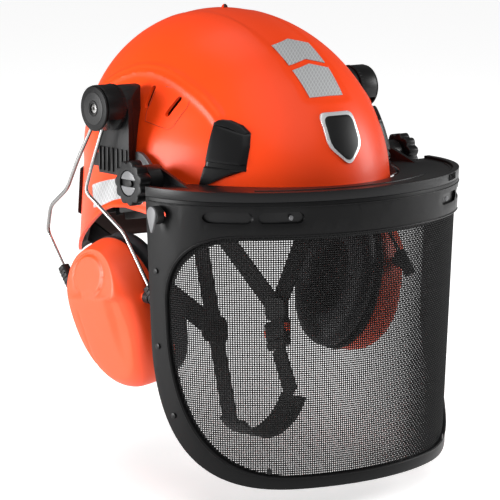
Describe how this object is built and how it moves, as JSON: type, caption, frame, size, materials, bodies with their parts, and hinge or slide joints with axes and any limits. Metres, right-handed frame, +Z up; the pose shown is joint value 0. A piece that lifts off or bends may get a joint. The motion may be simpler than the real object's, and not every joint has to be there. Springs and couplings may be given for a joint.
{
  "type": "forestry helmet with mesh visor and ear defenders",
  "caption": "Safety helmet with a flip-up mesh visor, ear defenders on wire arms, head harness with a rear fit wheel, and chin strap.",
  "frame": {"origin": "middle of the head opening, level with where the crown's curve meets the upright skirt", "axes": "+Z up, -Y the way the wearer faces, +X the wearer's left"},
  "size_m": [0.3096, 0.3336, 0.3501],
  "materials": {
    "shell_orange": "gloss",
    "black_plastic": "fine matte grain",
    "reflective": "reflective film",
    "plaque": "satin metallised plastic",
    "padding": "knitted cloth over foam",
    "webbing": "woven band",
    "orange_plastic": "satin",
    "mesh_wire": "black painted wire cloth",
    "steel_wire": "bright drawn wire",
    "cushion_skin": "soft smooth skin over foam",
    "foam": "open cell foam"
  },
  "bodies": {
    "helmet": {"shell": "shell_orange", "front_reflector_upper": "reflective", "front_reflector_lower": "reflective", "crown_reflector": "reflective", "side_reflectors": "reflective", "front_plaque": "plaque", "lamp_clips_front": "black_plastic", "lamp_clips_rear": "black_plastic", "headband": "black_plastic", "brow_sweatband": "padding", "crown_straps": "webbing", "crown_pad": "padding", "strap_anchors": "black_plastic", "fit_housing": "black_plastic", "nape_pad": "padding", "chin_webs_left": "webbing", "chin_webs_right": "webbing", "lower_web_left": "webbing", "lower_web_right": "webbing", "web_dividers": "black_plastic", "chin_pad": "black_plastic", "buckle_socket": "black_plastic", "buckle_plug": "black_plastic", "visor_arms": "black_plastic", "slot_adapter_right": "black_plastic", "slot_adapter_left": "black_plastic"},
    "visor": {"brow_guard": "black_plastic", "visor_frame": "black_plastic", "visor_mesh": "mesh_wire", "visor_retainer": "black_plastic", "frame_rivets": "black_plastic"},
    "fit_wheel": {"fit_knob": "black_plastic", "fit_pinion": "black_plastic"},
    "tab_right": {"size_tab_right": "black_plastic"},
    "tab_left": {"size_tab_left": "black_plastic"},
    "button_front": {"buckle_button_front": "orange_plastic"},
    "button_rear": {"buckle_button_rear": "orange_plastic"},
    "star_right": {"star_knob_right": "black_plastic"},
    "lever_right": {"lock_lever_right": "black_plastic"},
    "muff_hub_right": {"arm_hub_right": "black_plastic", "hub_cap_right": "black_plastic", "hub_screw_right": "steel_wire"},
    "yoke_right": {"yoke_wires_right": "steel_wire"},
    "sliders_right": {"wire_sliders_right": "black_plastic"},
    "cup_right": {"cup_shell_right": "orange_plastic", "cup_back_plate_right": "black_plastic", "ear_cushion_right": "cushion_skin", "foam_liner_right": "foam"},
    "star_left": {"star_knob_left": "black_plastic"},
    "lever_left": {"lock_lever_left": "black_plastic"},
    "muff_hub_left": {"arm_hub_left": "black_plastic", "hub_cap_left": "black_plastic", "hub_screw_left": "steel_wire"},
    "yoke_left": {"yoke_wires_left": "steel_wire"},
    "sliders_left": {"wire_sliders_left": "black_plastic"},
    "cup_left": {"cup_shell_left": "orange_plastic", "cup_back_plate_left": "black_plastic", "ear_cushion_left": "cushion_skin", "foam_liner_left": "foam"}
  },
  "joints": [
    {"name": "visor_flip", "type": "hinge", "parent": "helmet", "child": "visor", "pos_m": [0, -0.045, 0.0026], "axis": [-1, 0, 0], "range_deg": [0, 70]},
    {"name": "star_knob_turn_right", "type": "hinge", "parent": "helmet", "child": "star_right", "pos_m": [-0.135, -0.045, 0.0026], "axis": [-1, 0, 0], "range_deg": [0, 180]},
    {"name": "lock_lever_turn_right", "type": "hinge", "parent": "visor", "child": "lever_right", "pos_m": [-0.14, -0.088, -0.016], "axis": [-1, 0, 0], "range_deg": [0, 90]},
    {"name": "hub_swivel_right", "type": "hinge", "parent": "helmet", "child": "muff_hub_right", "pos_m": [-0.128, 0.003, 0.055], "axis": [1, 0, 0], "range_deg": [-2, 12]},
    {"name": "arm_flip_right", "type": "hinge", "parent": "muff_hub_right", "child": "yoke_right", "pos_m": [-0.1295, 0.009, 0.0415], "axis": [0, 1, 0], "range_deg": [0, 30], "stiffness_Nm_per_rad": 1.5, "springref_deg": -8.59},
    {"name": "cup_height_right", "type": "slide", "parent": "yoke_right", "child": "sliders_right", "axis": [0, -0.65, -0.76], "range_m": [-0.01, 0.01]},
    {"name": "cup_tilt_right", "type": "hinge", "parent": "sliders_right", "child": "cup_right", "pos_m": [-0.128, -0.003, -0.0855], "axis": [0, 1, 0], "range_deg": [-3, 14]},
    {"name": "star_knob_turn_left", "type": "hinge", "parent": "helmet", "child": "star_left", "pos_m": [0.135, -0.045, 0.0026], "axis": [1, 0, 0], "range_deg": [0, 180]},
    {"name": "lock_lever_turn_left", "type": "hinge", "parent": "visor", "child": "lever_left", "pos_m": [0.14, -0.088, -0.016], "axis": [1, 0, 0], "range_deg": [0, 90]},
    {"name": "hub_swivel_left", "type": "hinge", "parent": "helmet", "child": "muff_hub_left", "pos_m": [0.128, 0.003, 0.055], "axis": [1, 0, 0], "range_deg": [-2, 12]},
    {"name": "arm_flip_left", "type": "hinge", "parent": "muff_hub_left", "child": "yoke_left", "pos_m": [0.1295, 0.009, 0.0415], "axis": [0, -1, 0], "range_deg": [0, 30], "stiffness_Nm_per_rad": 1.5, "springref_deg": -8.59},
    {"name": "cup_height_left", "type": "slide", "parent": "yoke_left", "child": "sliders_left", "axis": [0, -0.65, -0.76], "range_m": [-0.01, 0.01]},
    {"name": "cup_tilt_left", "type": "hinge", "parent": "sliders_left", "child": "cup_left", "pos_m": [0.128, -0.003, -0.0855], "axis": [0, -1, 0], "range_deg": [-3, 14]},
    {"name": "fit_knob_turn", "type": "hinge", "parent": "helmet", "child": "fit_wheel", "pos_m": [0, 0.08278, -0.03589], "axis": [0, 0.9848, -0.1736], "range_deg": [-70, 70]},
    {"name": "size_tab_slide_right", "type": "slide", "parent": "helmet", "child": "tab_right", "axis": [1, 0, 0], "range_m": [-0.0075, 0.0075]},
    {"name": "size_tab_slide_left", "type": "slide", "parent": "helmet", "child": "tab_left", "axis": [-1, 0, 0], "range_m": [-0.0075, 0.0075]},
    {"name": "buckle_press_front", "type": "slide", "parent": "helmet", "child": "button_front", "axis": [0, -0.9191, 0.3939], "range_m": [0, 0.0025], "stiffness_N_per_m": 400, "springref_m": -0.0005},
    {"name": "buckle_press_rear", "type": "slide", "parent": "helmet", "child": "button_rear", "axis": [0, 0.9191, -0.3939], "range_m": [0, 0.0025], "stiffness_N_per_m": 400, "springref_m": -0.0005}
  ],
  "couplings": [
    {"joint": "size_tab_slide_right", "follows": "fit_knob_turn", "m_per_rad": 0.005},
    {"joint": "size_tab_slide_left", "follows": "fit_knob_turn", "m_per_rad": 0.005}
  ]
}
